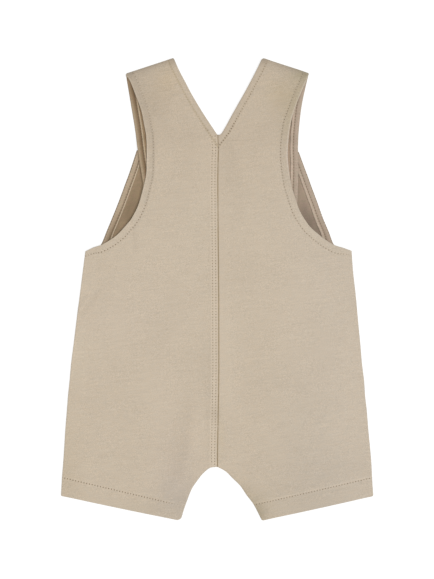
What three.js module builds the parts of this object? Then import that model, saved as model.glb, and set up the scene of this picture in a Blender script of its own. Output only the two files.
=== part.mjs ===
// Baby shortalls lying flat with the back up, in millimetres.
// X runs across the garment, Y from the hems to the shoulders, Z up from the surface it lies on.
import * as THREE from 'three';

// Cloth and seams
const clothThickness = 1.2;
const facingThickness = 1.0;
const seamGap = 0.3;
const seamX = 1;

// Edge bands, where the cloth is turned under and is thicker
const bandWidth = 6;
const bandStep = 0.8;
const bandRise = 0.4;
const bandColumns = 2;
const hemRise = 0.5;
const hemBow = 0.8;
const allowanceRise = 0.5;
const longestCorner = 0.6;

// Shoulder fold, measured to the outside of the cloth
const foldRadius = 2;
const foldSteps = 5;

// Steps from one section of a table to the next
const legSteps = 2;
const strapSteps = 2;
const bibSteps = 2;

// Facings inside the armhole
const armholeFacingWidth = 5.7;
const strapFacingWidth = 5;
const facingInset = 0.3;
const facingStartRows = 3;

// Buttons, and how the layers above them rise to clear them
const buttonRadius = 6;
const buttonHeight = 2.2;
const buttonHoleRadius = 0.8;
const buttonHoleOffset = 1.5;
const buttonSegments = 12;
const buttonPlaces = { left: [-46.5, 107.5], right: [51.5, 106.5] };
const buttonClearRadius = 12;
const buttonFadeWidth = 11;
const bibLift = buttonHeight + seamGap;

// Height of the strap where it lies on the bib, and the slope up to it
const strapOverBib = clothThickness + seamGap + facingThickness + seamGap;
const slopeTopY = 142;
const slopeFootY = 133;

// Sections across both halves, from the hem up, as
// [left outer x, y, left inner x, y, right outer x, y, right inner x, y,
//  height of the wrong side at the outer edge, in the middle, at the inner edge]
const legSections = [
  [-143.5, -189.5, -33.5, -212.5, 143.5, -190, 41.5, -212.5, 1.5, 1.6, 1.5],
  [-142.5, -173.5, -29, -200.5, 142.5, -174, 34, -199, 1.5, 2.2, 1.5],
  [-141.5, -161, -24, -185, 142, -161, 27.5, -190, 1.5, 2.6, 1.5],
  [-140.5, -146.5, -18.5, -177, 141, -145.5, 21.5, -181, 1.5, 3, 1.5],
  [-139.5, -130, -12.5, -169.5, 139.5, -130, 14.5, -174, 1.5, 3.2, 1.5],
  [-138, -111.5, -6, -164.5, 138, -111.5, 8, -168, 1.5, 3.3, 1.5],
  [-137, -98.5, seamX, -163.5, 136.5, -98.5, seamX, -163.5, 1.5, 3.4, 1.8],
];
const seatSections = [
  [-135.5, -84, seamX, -139, 135.5, -84, seamX, -139, 1.5, 3.6, 2.2],
  [-134, -67.5, seamX, -111.5, 133.5, -67.5, seamX, -111.5, 1.5, 3.8, 2.5],
  [-132, -52, seamX, -84, 132.5, -52, seamX, -84, 1.5, 3.9, 2.6],
  [-129.5, -29, seamX, -52, 130, -29, seamX, -52, 1.5, 4, 2.6],
  [-126.5, -6, seamX, -21.5, 127.5, -6, seamX, -21.5, 1.5, 4.1, 2.6],
  [-123.5, 15.5, seamX, 5.5, 125.5, 15.5, seamX, 5.5, 1.5, 4.2, 2.6],
  [-121, 34.5, seamX, 24.5, 124, 35, seamX, 24.5, 1.6, 4.2, 2.6],
];
const armholeSections = [
  [-113.5, 38, seamX, 31, 116.5, 37.5, seamX, 31, 2.8, 4.2, 2.6],
  [-106, 40.5, seamX, 37.5, 108, 40.5, seamX, 37.5, 3, 4.3, 2.6],
  [-97, 46, seamX, 47.5, 99.5, 46, seamX, 47.5, 3.2, 4.6, 2.6],
  [-90.5, 51, seamX, 57, 93, 51.5, seamX, 57, 3.5, 4.9, 2.6],
  [-85, 57, seamX, 67, 87, 57, seamX, 67, 4.2, 5.2, 2.6],
  [-79, 64, seamX, 78, 82, 63.5, seamX, 78, 5, 5.7, 2.6],
  [-74, 72.5, seamX, 89, 77, 72, seamX, 89, 5.8, 6, 2.6],
  [-70.5, 81.5, seamX, 99, 73.5, 80.5, seamX, 99, 5.8, 6, 2.6],
  [-67, 95, seamX, 111, 69, 94.5, seamX, 111, 5.8, 6, 2.6],
  [-64.5, 106, seamX, 121, 67, 105.5, seamX, 121, 5.8, 6, 2.6],
  [-64, 120.5, seamX, 131.5, 65.5, 119.5, seamX, 131.5, 5.8, 6, 2.6],
  [-64, 131.5, seamX, 141.5, 65.5, 130.5, seamX, 141.5, 5.8, 6, 2.6],
];
const strapBackSections = [
  [-65, 144, -5, 150, 67, 144, 8, 150.5, 3.4, 3.2, 2.8],
  [-67, 154, -10, 157.5, 69, 155, 12.5, 158.5, 2.8, 2.8, 2.8],
  [-69, 164, -15, 166, 71.5, 164, 17, 166.5, 2.8, 2.8, 2.8],
  [-72, 172.5, -20, 174.5, 74, 172, 21.5, 174.5, 2.8, 2.8, 2.8],
  [-75, 180, -24.5, 182, 77, 179.5, 26, 182.5, 2.8, 2.8, 2.8],
  [-77.5, 186.5, -28.5, 190, 80, 186.5, 30.5, 191, 2.8, 2.8, 2.8],
  [-80.5, 192.5, -34, 200.5, 82.5, 192, 36, 201, 2.8, 2.8, 2.8],
];

// The fold line on top of the shoulders, then the strap's sections down the front
const shoulder = [-84, 197.5, -40.5, 212.5, 84.5, 198, 42, 212.5];
const strapFrontSections = [
  [-78.5, 171, -32.5, 176.5, 79, 172, 36.5, 176.5],
  [-75.5, 150, -28, 155, 76, 151.5, 32.5, 155],
  [-72.5, 131.5, -24.5, 135, 75, 132, 29.5, 135],
  [-71.5, 118.5, -23.5, 118.5, 75, 118.5, 28, 118.5],
  [-69.5, 106.5, -22.5, 102, 75, 103.5, 27.5, 102],
  [-67.5, 93, -21.5, 89, 74.5, 90, 27, 89],
  [-65, 70.5, -20, 69, 74, 69.5, 26.5, 69],
];

// The bib above the underarm, up to its straight top edge
const bibSections = [
  [-111.5, 36.5, seamX, 30, 114.5, 36.5, seamX, 30],
  [-105.5, 41.5, seamX, 37.5, 108, 41, seamX, 37.5],
  [-100.5, 53.5, seamX, 48.5, 103.5, 53, seamX, 48.5],
  [-95.5, 65.5, seamX, 61.5, 98, 65.5, seamX, 61.5],
  [-89.5, 81.5, seamX, 76, 92, 82, seamX, 76],
  [-84.5, 94, seamX, 89, 87.5, 94, seamX, 89],
  [-81, 105, seamX, 102, 84, 104, seamX, 102],
  [-77, 115, seamX, 114, 80, 115, seamX, 114],
  [-73, 128, seamX, 127.5, 75.5, 126.5, seamX, 127.5],
];

// Columns across a panel: the two edge bands, and evenly spaced ones between them
const outerOffsets = [0, bandWidth, bandWidth + bandStep];
const innerOffsets = [bandWidth + bandStep, bandWidth, 0];
const backFill = 7;
const frontFill = 13;

// Shares of a section's width where the middle height begins and ends
const middleStart = 0.3;
const middleEnd = 0.64;

const clothMaterial = new THREE.MeshStandardMaterial({ color: 0xc7b9a4, roughness: 0.9, metalness: 0 });
const facingMaterial = new THREE.MeshStandardMaterial({ color: 0xb2a18c, roughness: 0.9, metalness: 0 });
const buttonMaterial = new THREE.MeshStandardMaterial({ color: 0xcdbfa8, roughness: 0.45, metalness: 0 });

function smooth(start, end, value) {
  return THREE.MathUtils.smoothstep(value, start, end);
}

// The two ends of a section on one side
function endsOf(section, side) {
  const [leftX, leftY, leftInX, leftInY, rightX, rightY, rightInX, rightInY, ...heights] = section;
  if (side === 'left') {
    return { outer: new THREE.Vector2(leftX, leftY), inner: new THREE.Vector2(leftInX, leftInY), heights };
  }
  return { outer: new THREE.Vector2(rightX, rightY), inner: new THREE.Vector2(rightInX, rightInY), heights };
}

// Smooth curves through the ends, with a number of steps from each section to the next
function alongRun(ends, steps) {
  const outerCurve = new THREE.SplineCurve(ends.map((end) => end.outer));
  const innerCurve = new THREE.SplineCurve(ends.map((end) => end.inner));
  const count = (ends.length - 1) * steps;
  return Array.from({ length: count + 1 }, (_, index) => {
    const before = ends[Math.min(Math.floor(index / steps), ends.length - 2)];
    const after = ends[ends.indexOf(before) + 1];
    const share = index / steps - ends.indexOf(before);
    return {
      outer: outerCurve.getPoint(index / count),
      inner: innerCurve.getPoint(index / count),
      heights: before.heights.map((height, k) => THREE.MathUtils.lerp(height, after.heights[k], share)),
    };
  });
}

// Inward direction at an end, lengthened at a corner so that bands keep their width
function inwardAt(rows, index, from, to) {
  const across = rows[index][to].clone().sub(rows[index][from]).normalize();
  if (index === 0 || index === rows.length - 1) {
    return across;
  }
  const normals = [[index - 1, index], [index, index + 1]].map(([first, second]) => {
    const edge = rows[second][from].clone().sub(rows[first][from]);
    const normal = new THREE.Vector2(-edge.y, edge.x).normalize();
    return normal.dot(across) < 0 ? normal.negate() : normal;
  });
  const mean = normals[0].clone().add(normals[1]).normalize();
  return mean.divideScalar(Math.max(mean.dot(normals[0]), longestCorner));
}

// Plan points across every row: the edge bands follow the edges, the rest is spread between them
function planOf(rows, fill) {
  return rows.map((row, index) => {
    const fromOuter = inwardAt(rows, index, 'outer', 'inner');
    const fromInner = inwardAt(rows, index, 'inner', 'outer');
    const outerBand = outerOffsets.map((offset) => row.outer.clone().addScaledVector(fromOuter, offset));
    const innerBand = innerOffsets.map((offset) => row.inner.clone().addScaledVector(fromInner, offset));
    const middle = Array.from({ length: fill }, (_, k) =>
      outerBand.at(-1).clone().lerp(innerBand[0], (k + 1) / (fill + 1)));
    return [...outerBand, ...middle, ...innerBand];
  });
}

// The hem's edge bows down a little between the side seam and the inner leg
function bowHem(plan) {
  const [hem] = plan;
  const width = hem.at(-1).distanceTo(hem[0]);
  hem.forEach((point) => {
    const share = point.distanceTo(hem[0]) / width;
    point.y -= 4 * hemBow * share * (1 - share);
  });
  return plan;
}

// Height of the wrong side across a section, from its three heights
function heightAcross(heights, share) {
  const [edge, middle, inner] = heights;
  const toMiddle = THREE.MathUtils.lerp(edge, middle, smooth(0, middleStart, share));
  return THREE.MathUtils.lerp(toMiddle, inner, smooth(middleEnd, 1, share));
}

// How much the layers above a button rise, from 1 over it to 0 away from it
function overButton(point, side) {
  const [x, y] = buttonPlaces[side];
  const distance = Math.hypot(point.x - x, point.y - y);
  return 1 - smooth(buttonClearRadius, buttonClearRadius + buttonFadeWidth, distance);
}

function strapHeight(point, side) {
  const onBib = 1 - smooth(slopeFootY, slopeTopY, point.y);
  const onButton = clothThickness + 2 * seamGap + bibLift * overButton(point, side);
  return onBib * Math.max(strapOverBib, onButton);
}

// A closed wall from two grids of points, one for each side of the cloth
function wall(rightSide, wrongSide) {
  const rowCount = rightSide.length;
  const columnCount = rightSide[0].length;
  const sheetSize = rowCount * columnCount;
  const positions = [...rightSide.flat(), ...wrongSide.flat()].flatMap((point) => point.toArray());
  const indices = [];
  const quad = (a, b, c, d) => indices.push(a, b, c, a, c, d);
  const at = (row, column) => row * columnCount + column;
  for (let row = 0; row < rowCount - 1; row += 1) {
    for (let column = 0; column < columnCount - 1; column += 1) {
      const corners = [at(row, column), at(row, column + 1), at(row + 1, column + 1), at(row + 1, column)];
      quad(...corners);
      quad(...corners.map((corner) => corner + sheetSize).reverse());
    }
  }
  const rim = [];
  for (let column = 0; column < columnCount - 1; column += 1) {
    rim.push(at(0, column));
  }
  for (let row = 0; row < rowCount - 1; row += 1) {
    rim.push(at(row, columnCount - 1));
  }
  for (let column = columnCount - 1; column > 0; column -= 1) {
    rim.push(at(rowCount - 1, column));
  }
  for (let row = rowCount - 1; row > 0; row -= 1) {
    rim.push(at(row, 0));
  }
  rim.forEach((corner, k) => {
    const next = rim[(k + 1) % rim.length];
    quad(next, corner, corner + sheetSize, next + sheetSize);
  });
  const geometry = new THREE.BufferGeometry();
  geometry.setAttribute('position', new THREE.Float32BufferAttribute(positions, 3));
  geometry.setIndex(volumeOf(positions, indices) < 0 ? indices.reverse() : indices);
  geometry.computeVertexNormals();
  return geometry;
}

// Signed volume of a closed mesh, negative when its faces point inwards
function volumeOf(positions, indices) {
  const corner = (k) => new THREE.Vector3().fromArray(positions, indices[k] * 3);
  let sum = 0;
  for (let k = 0; k < indices.length; k += 3) {
    sum += corner(k).dot(corner(k + 1).cross(corner(k + 2)));
  }
  return sum / 6;
}

function named(name, geometry, material) {
  const mesh = new THREE.Mesh(geometry, material);
  mesh.name = name;
  return mesh;
}

// The centre seam parts the halves by the seam gap
function partHalves(rows, side) {
  const shift = side === 'left' ? -seamGap / 2 : seamGap / 2;
  rows.forEach((row) => {
    row.inner.x += shift;
  });
  return rows;
}

// The shoulder's fold line moved in to the middle of the fold
function foldAxis(side) {
  const { outer, inner } = endsOf(shoulder, side);
  const along = inner.clone().sub(outer).normalize();
  const outward = new THREE.Vector2(-along.y, along.x);
  if (outward.y < 0) {
    outward.negate();
  }
  return {
    outward,
    outer: outer.addScaledVector(outward, -foldRadius),
    inner: inner.addScaledVector(outward, -foldRadius),
    heights: endsOf(strapBackSections.at(-1), side).heights,
  };
}

// Half of the back: leg, seat, chest and the strap over the shoulder and down inside the bib
function backHalf(side) {
  const ends = (sections) => sections.map((section) => endsOf(section, side));
  const axis = foldAxis(side);
  const legRun = alongRun(ends(legSections), legSteps);
  const seatRun = alongRun(ends([legSections.at(-1), ...seatSections]), 1);
  const armholeRun = alongRun(ends([seatSections.at(-1), ...armholeSections]), 1);
  const strapRun = alongRun([...ends([armholeSections.at(-1), ...strapBackSections]), axis], 1);
  const crotchRow = legRun.length - 1;
  const underarmRow = crotchRow + seatRun.length - 1;
  const neckRow = underarmRow + armholeRun.length - 1;
  const rows = [...legRun, ...seatRun.slice(1), ...armholeRun.slice(1), ...strapRun.slice(1)];
  partHalves(rows.slice(0, neckRow + 1), side);
  const plan = bowHem(planOf(rows, backFill));
  const lastRow = rows.length - 1;

  // Raised bands on the right side of the cloth, ending before the fold
  const rise = (row, column) => {
    const onOuterBand = column < bandColumns;
    const onInnerBand = column >= plan[0].length - bandColumns;
    if (row <= legSteps) {
      return hemRise;
    }
    if (row < lastRow && ((onOuterBand && row >= underarmRow) || (onInnerBand && row > neckRow))) {
      return bandRise;
    }
    return onInnerBand && row >= crotchRow && row <= neckRow && side === 'left' ? allowanceRise : 0;
  };
  const wrongSide = plan.map((points, row) => points.map((point) => {
    const share = point.distanceTo(points[0]) / points.at(-1).distanceTo(points[0]);
    return new THREE.Vector3(point.x, point.y, heightAcross(rows[row].heights, share));
  }));
  const rightSide = wrongSide.map((points, row) => points.map((point, column) =>
    new THREE.Vector3(point.x, point.y, point.z + clothThickness + rise(row, column))));

  // Round the fold, about an axis at half the height of the shoulder
  const foldRows = (radius) => Array.from({ length: foldSteps }, (_, k) => {
    const angle = ((k + 1) / foldSteps) * Math.PI;
    return plan[lastRow].map((point) => new THREE.Vector3(
      point.x + axis.outward.x * radius * Math.sin(angle),
      point.y + axis.outward.y * radius * Math.sin(angle),
      foldRadius + radius * Math.cos(angle),
    ));
  });
  const front = strapFront(side);
  rightSide.push(...foldRows(foldRadius), ...front.rightSide.slice(1));
  wrongSide.push(...foldRows(foldRadius - clothThickness), ...front.wrongSide.slice(1));
  return named(`back_${side}`, wall(rightSide, wrongSide), clothMaterial);
}

// The strap's end run down the front, its right side to the floor
function strapFront(side) {
  const sections = strapFrontSections.map((section) => endsOf(section, side));
  const rows = alongRun([{ ...foldAxis(side), heights: [] }, ...sections], strapSteps);
  const plan = planOf(rows, backFill);
  const layer = (height) => plan.map((points) => points.map((point) =>
    new THREE.Vector3(point.x, point.y, strapHeight(point, side) + height)));
  return { rows, rightSide: layer(0), wrongSide: layer(clothThickness) };
}

// Half of the front: leg, seat and bib, flat on the surface but for the rise over its button
function frontRows(side) {
  const ends = (sections) => sections.map((section) => ({ ...endsOf(section, side), heights: [] }));
  const legRun = alongRun(ends(legSections), legSteps);
  const seatRun = alongRun(ends([legSections.at(-1), ...seatSections]), 1);
  const bibRun = alongRun(ends([seatSections.at(-1), ...bibSections]), bibSteps);
  const rows = [...legRun, ...seatRun.slice(1), ...bibRun.slice(1)];
  const underarmRow = legRun.length + seatRun.length - 2;
  return { rows: partHalves(rows, side), underarmRow };
}

function frontHalf(side) {
  const plan = bowHem(planOf(frontRows(side).rows, frontFill));
  const layer = (height) => plan.map((points) => points.map((point) =>
    new THREE.Vector3(point.x, point.y, bibLift * overButton(point, side) + height)));
  return named(`front_${side}`, wall(layer(0), layer(clothThickness)), clothMaterial);
}

// A narrow strip on the wrong side of a panel, just inside its outer edge
function facing(name, rows, width, heightAt) {
  const strip = rows.map((row, index) => {
    const inward = inwardAt(rows, index, 'outer', 'inner');
    return [facingInset, width].map((offset) => row.outer.clone().addScaledVector(inward, offset));
  });
  const layer = (height) => strip.map((points) => points.map((point) =>
    new THREE.Vector3(point.x, point.y, heightAt(point) + height)));
  const underside = clothThickness + seamGap;
  return named(name, wall(layer(underside), layer(underside + facingThickness)), facingMaterial);
}

// The facing on the bib starts just above the underarm, under the back
function armholeFacing(side) {
  const { rows, underarmRow } = frontRows(side);
  const height = (point) => bibLift * overButton(point, side);
  const facedRows = rows.slice(underarmRow + facingStartRows);
  return facing(`armhole_facing_${side}`, facedRows, armholeFacingWidth, height);
}

// The same facing runs on inside the strap, from the shoulder fold to the strap's end
function strapFacing(side) {
  const { rows } = strapFront(side);
  const height = (point) => strapHeight(point, side);
  return facing(`strap_facing_${side}`, rows.slice(1), strapFacingWidth, height);
}

// A four-hole button, its face on the surface
function button(side) {
  const disc = new THREE.Shape().absarc(0, 0, buttonRadius, 0, Math.PI * 2);
  for (const [signX, signY] of [[1, 1], [-1, 1], [-1, -1], [1, -1]]) {
    const hole = new THREE.Path();
    hole.absarc(signX * buttonHoleOffset, signY * buttonHoleOffset, buttonHoleRadius, 0, Math.PI * 2);
    disc.holes.push(hole);
  }
  const geometry = new THREE.ExtrudeGeometry(disc, {
    depth: buttonHeight, bevelEnabled: false, curveSegments: buttonSegments,
  });
  const mesh = named(`button_${side}`, geometry, buttonMaterial);
  mesh.position.set(...buttonPlaces[side], 0);
  return mesh;
}

const shortalls = new THREE.Group();
for (const side of ['left', 'right']) {
  shortalls.add(backHalf(side));
  shortalls.add(frontHalf(side));
  shortalls.add(armholeFacing(side));
  shortalls.add(strapFacing(side));
  shortalls.add(button(side));
}

export default shortalls;
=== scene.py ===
import math

import bpy
import numpy as np
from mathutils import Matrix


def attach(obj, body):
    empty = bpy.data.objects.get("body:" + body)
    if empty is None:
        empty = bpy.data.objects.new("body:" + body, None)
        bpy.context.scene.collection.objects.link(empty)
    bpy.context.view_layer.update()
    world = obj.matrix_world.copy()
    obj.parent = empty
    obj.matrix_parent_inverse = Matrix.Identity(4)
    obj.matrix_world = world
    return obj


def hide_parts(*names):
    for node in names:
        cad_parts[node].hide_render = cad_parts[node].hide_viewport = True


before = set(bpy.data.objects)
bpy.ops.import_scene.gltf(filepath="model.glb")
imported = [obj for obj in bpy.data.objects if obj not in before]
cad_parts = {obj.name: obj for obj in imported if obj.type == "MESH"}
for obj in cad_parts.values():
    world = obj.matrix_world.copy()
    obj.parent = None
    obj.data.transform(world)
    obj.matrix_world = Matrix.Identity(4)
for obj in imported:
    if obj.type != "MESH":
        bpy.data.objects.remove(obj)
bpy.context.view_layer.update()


# Camera
# The photograph looks square on to the flat garment, so the camera hangs straight above it.
# Its frame is the photograph's 434 by 579 pixels, at the real size that the stitches give.
MM = 0.001
PIXEL = 0.92 * MM
FRAME_TALL = 579
FRAME_MIDDLE_PX = (217.0, 289.5)
GARMENT_MIDDLE_PX = (216.85, 289.25)
LENS = 100.0
SENSOR = 36.0
SHARP_HEIGHT = 3 * MM


def in_scene(name, data):
    """A new object with the given data, linked to the scene."""
    made = bpy.data.objects.new(name, data)
    bpy.context.scene.collection.objects.link(made)
    return made


camera_data = bpy.data.cameras.new("camera")
camera_data.lens = LENS
camera_data.sensor_width = SENSOR
camera_data.clip_end = 20
camera = in_scene("camera", camera_data)
camera.location = (
    (FRAME_MIDDLE_PX[0] - GARMENT_MIDDLE_PX[0]) * PIXEL,
    (GARMENT_MIDDLE_PX[1] - FRAME_MIDDLE_PX[1]) * PIXEL,
    SHARP_HEIGHT + FRAME_TALL * PIXEL * LENS / SENSOR,
)
bpy.context.scene.camera = camera


# Front halves
# Two cut pieces of cotton jersey, each a leg with its half of the bib, sewn down the centre front.
# They lie face down, so that their wrong side shows inside the armholes.
SEAM_X = 1.0
SEAM_GAP = 0.08
CLOTH = 0.9
ARMHOLE_BAND = 6.5
STITCH = 2.6
FAR = 9.0
HEM_BOW = 0.3
HEM_CORNERS = {"left": (1.2, 4.0), "right": (1.4, 1.6)}
SIDES = ("left", "right")


def seamed(sections):
    """Full sections from short ones that end on the centre seam: the fifth value is y there."""
    return [(*row[:2], SEAM_X, row[4], *row[2:4], SEAM_X, row[4], *row[5:]) for row in sections]


# Sections from the hem up: left outer x, y, left inner x, y, right outer x, y, right inner x, y,
# then the height of the back's wrong side at the outer edge, in the middle and at the inner edge.
# The short ones are left outer x, y, right outer x, y, y at the seam, and the heights.
LEG = [
    (-143.5, -190.3, -33.4, -213.1, 144, -190.5, 41.6, -213.1, 1.5, 1.6, 1.5),
    (-142.5, -173.2, -29.3, -199.9, 142.9, -173.4, 34.2, -198.6, 1.5, 2.2, 1.5),
    (-141.5, -161, -23.6, -185, 142.3, -161, 27.8, -190, 1.5, 2.6, 1.5),
    (-140.5, -146.5, -18.5, -177, 141, -145.5, 21.8, -181, 1.5, 3, 1.5),
    (-139.5, -130, -12.5, -169.5, 139.5, -130, 14.9, -174, 1.5, 3.2, 1.5),
    (-138, -111.5, -6, -164.5, 138, -111.5, 8.6, -167.7, 1.5, 3.3, 1.5),
    (-137, -98.5, SEAM_X, -163.5, 136.5, -98.5, SEAM_X, -163.5, 1.5, 3.4, 1.8),
]
SEAT = seamed([
    (-135.5, -84, 135.5, -84, -139, 1.5, 3.6, 2.2),
    (-134, -67.5, 133.5, -67.5, -111.5, 1.5, 3.8, 2.5),
    (-132, -52, 132.2, -52, -84, 1.5, 3.9, 2.6),
    (-129.2, -29, 130, -29, -52, 1.5, 4, 2.6),
    (-126.2, -6, 127.9, -6, -21.5, 1.5, 4.1, 2.6),
    (-123.5, 15.5, 125.5, 15.5, 5.5, 1.5, 4.2, 2.6),
    (-121, 34.9, 124, 35.4, 24.5, 1.6, 4.2, 2.6),
])
BIB = seamed([
    (-111.8, 36.5, 114.5, 36.5, 30),
    (-106.4, 41.8, 107.8, 41.2, 37.5),
    (-101.5, 53.5, 103.1, 53, 48.5),
    (-96.5, 65.5, 97.8, 65.5, 61.5),
    (-90.1, 81.5, 91.9, 82, 76),
    (-85.5, 94, 87.4, 94, 89),
    (-81.4, 105, 83.8, 104, 102),
    (-78, 115, 79.7, 115, 114),
    (-73.8, 128, 75.5, 126.5, 127.5),
])
BUTTON_AT = {"left": (-46.5, 107.5), "right": (51.5, 106.5)}
BUTTON_CLEAR = 12.0
BUTTON_FADE = 11.0
BIB_LIFT = 2.5
EDGE_EVENING = 6.0


def smooth(start, end, value):
    share = np.clip((value - start) / (end - start), 0, 1)
    return share * share * (3 - 2 * share)


def bell(distance, width):
    """1 at no distance, fading away softly over the width."""
    return np.exp(-(distance / width) ** 2)


def unit(vectors):
    return vectors / np.linalg.norm(vectors, axis=-1, keepdims=True)


def quarter_turn(vectors):
    return vectors[..., ::-1] * (-1, 1)


def run_length(points):
    """How far along a line of points each one lies."""
    return np.concatenate([[0], np.cumsum(np.linalg.norm(np.diff(points, axis=0), axis=1))])


def evened(values, place, reach):
    """Rows of values evened out with their neighbours, by their places along the piece."""
    weight = bell(place[:, None] - place[None], reach) * np.gradient(place)
    return weight @ values / weight.sum(axis=1, keepdims=True)


def ends(sections, side):
    """The outer ends, inner ends and heights of a table's sections, on one side."""
    table = np.array([row[:8] for row in sections], float)
    first = 0 if side == "left" else 4
    heights = np.array([row[8:] or (0, 0, 0) for row in sections], float)
    return table[:, first:first + 2], table[:, first + 2:first + 4], heights


def spline(points, at):
    """Points on the smooth curve through the given ones; at counts them from 0."""
    last = len(points) - 1
    before = np.clip(np.floor(at).astype(int), 0, max(last - 1, 0))
    share = (at - before)[:, None]
    p0 = points[np.maximum(before - 1, 0)]
    p1 = points[before]
    p2 = points[np.minimum(before + 1, last)]
    p3 = points[np.minimum(before + 2, last)]
    v0 = (p2 - p0) / 2
    v1 = (p3 - p1) / 2
    cubic = (2 * p1 - 2 * p2 + v0 + v1) * share ** 3
    return cubic + (-3 * p1 + 3 * p2 - 2 * v0 - v1) * share ** 2 + v0 * share + p1


def edge_line(points, corners, rows, across, reach=25.0):
    """One edge of a piece at every row, and the way in from it for each millimetre of depth.

    The way in is square to the edge, and leans at a corner or an end to keep bands parallel."""
    line = np.zeros((len(rows), 2))
    inward = np.zeros((len(rows), 2))
    step = 0.02
    runs = []
    for first, last in zip(corners[:-1], corners[1:]):
        inside = (rows >= first) & (rows <= last)
        at = rows[inside] - first
        run = points[first:last + 1]
        ahead = spline(run, np.minimum(at + step, last - first))
        tangent = unit(ahead - spline(run, np.maximum(at - step, 0)))
        normal = quarter_turn(tangent)
        normal *= np.sign((normal * across[inside]).sum(axis=1))[:, None]
        runs.append((inside, spline(run, at), tangent, normal))
    for k, (inside, here, tangent, normal) in enumerate(runs):
        way = across[inside]
        start = way[0] / (way[0] @ normal[0])
        end = way[-1] / (way[-1] @ normal[-1])
        if k > 0:
            other = runs[k - 1][3][-1]
            start = (normal[0] + other) / (1 + normal[0] @ other)
        if k < len(runs) - 1:
            other = runs[k + 1][3][0]
            end = (normal[-1] + other) / (1 + normal[-1] @ other)
        length = run_length(here)
        span = min(reach, length[-1] / 2)
        from_start = np.clip(1 - length / span, 0, 1)
        from_end = np.clip(1 - (length[-1] - length) / span, 0, 1)
        sideways = (start @ tangent[0]) * from_start + (end @ tangent[-1]) * from_end
        line[inside] = here
        inward[inside] = normal + tangent * sideways[:, None]
    # Evened out over a few millimetres, so that rows never cross
    return line, evened(inward, run_length(line), EDGE_EVENING)


def row_places(outer, inner, cell, extra=()):
    """Row positions along a table: about one cell apart, with extra ones at the places given."""
    places = [np.array(extra, float)]
    for k in range(len(outer) - 1):
        longest = max(np.linalg.norm(outer[k + 1] - outer[k]), np.linalg.norm(inner[k + 1] - inner[k]))
        count = max(int(math.ceil(longest / cell)), 2)
        places.append(np.linspace(k, k + 1, count + 1))
    return np.unique(np.round(np.concatenate(places), 4))


def lay_out(outer, inner, outer_corners, inner_corners, rows, outer_depths, inner_depths, fill):
    """Plan points of a piece in rows and columns, with each column's depth from both edges."""
    across = unit(spline(inner, rows) - spline(outer, rows))
    outer_line, outer_in = edge_line(outer, outer_corners, rows, across)
    inner_line, inner_in = edge_line(inner, inner_corners, rows, -across)
    outer_band = outer_line[:, None] + outer_in[:, None] * outer_depths[None, :, None]
    inner_band = inner_line[:, None] + inner_in[:, None] * inner_depths[None, ::-1, None]
    share = np.linspace(0, 1, fill + 2)[None, 1:-1, None]
    between = outer_band[:, -1:] * (1 - share) + inner_band[:, :1] * share
    plan = np.concatenate([outer_band, between, inner_band], axis=1)
    outer_depth = np.linalg.norm(plan - outer_band[:, -1:], axis=2) + outer_depths[-1]
    outer_depth[:, :len(outer_depths)] = outer_depths
    inner_depth = np.linalg.norm(plan - inner_band[:, :1], axis=2) + inner_depths[-1]
    inner_depth[:, -len(inner_depths):] = inner_depths[::-1]
    return plan, outer_depth, inner_depth


def near_line(plan, line):
    """Each point's distance from a line, and how far along the line its nearest place lies."""
    flat = plan.reshape(-1, 2)
    gap = np.full(len(flat), 1e9)
    along = np.zeros(len(flat))
    for start, end, lead in zip(line[:-1], line[1:], run_length(line)):
        way = end - start
        share = np.clip((flat - start) @ way / (way @ way), 0, 1)
        offset = flat - start - share[:, None] * way
        here = np.hypot(offset[:, 0], offset[:, 1])
        closer = here < gap
        gap[closer] = here[closer]
        along[closer] = lead + share[closer] * np.linalg.norm(way)
    return gap.reshape(plan.shape[:2]), along.reshape(plan.shape[:2])


def run_on(edge, length):
    """An edge's points, with a straight run of the given length before its start and 8 mm after it."""
    before = edge[0] + unit(edge[0] - edge[3]) * np.arange(length, 0, -1.0)[:, None]
    after = edge[-1] + unit(edge[-1] - edge[-4]) * np.arange(1.0, 9.0)[:, None]
    return np.concatenate([before, edge, after])


def inside_edge(edge, depth, toward):
    """A line at the given depth inside an edge, on the side where the point given lies."""
    normal = quarter_turn(unit(np.gradient(edge, axis=0)))
    normal *= np.sign((normal * (toward - edge)).sum())
    return edge + normal * np.reshape(depth, (-1, 1))


def on_cloth(line, run, surface, reach=1.1):
    """The part of a line that lies on a piece of cloth, at the cloth's height, with its run along."""
    flat = surface.reshape(-1, 3)
    laid = []
    for (x, y), along in zip(line, run):
        gap = np.hypot(flat[:, 0] - x, flat[:, 1] - y)
        near = np.argpartition(gap, 4)[:4]
        if gap[near].min() < reach:
            weight = 1 / (gap[near] + 0.05)
            laid.append((x, y, (flat[near, 2] * weight).sum() / weight.sum(), along))
    return np.array(laid)


def nearest_row(lines):
    """For each point, the stitching values of the sewn line nearest to it, up to 3 mm away.

    Each line is its distance, its run along in millimetres, how much its holes are squeezed along
    and across it, and how faint they are. A hole lies wherever two stitches meet."""
    aside = np.full(lines[0][0].shape, FAR)
    along = np.zeros(aside.shape)
    squeeze = np.ones(aside.shape)
    best = np.full(aside.shape, 3.0)
    for gap, run, squeezed_along, squeezed_across, faint in lines:
        closer = gap < best
        best = np.where(closer, gap, best)
        aside = np.where(closer, gap * squeezed_across + faint, aside)
        along = np.where(closer, run / STITCH + 0.5, along)
        squeeze = np.where(closer, squeezed_along, squeeze)
    return aside, along, squeeze, best


def coloured(amount, colour=(1.0, 1.0, 1.0)):
    """An amount at each point, shared out to red, green and blue."""
    return amount[..., None] * np.array(colour)


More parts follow.
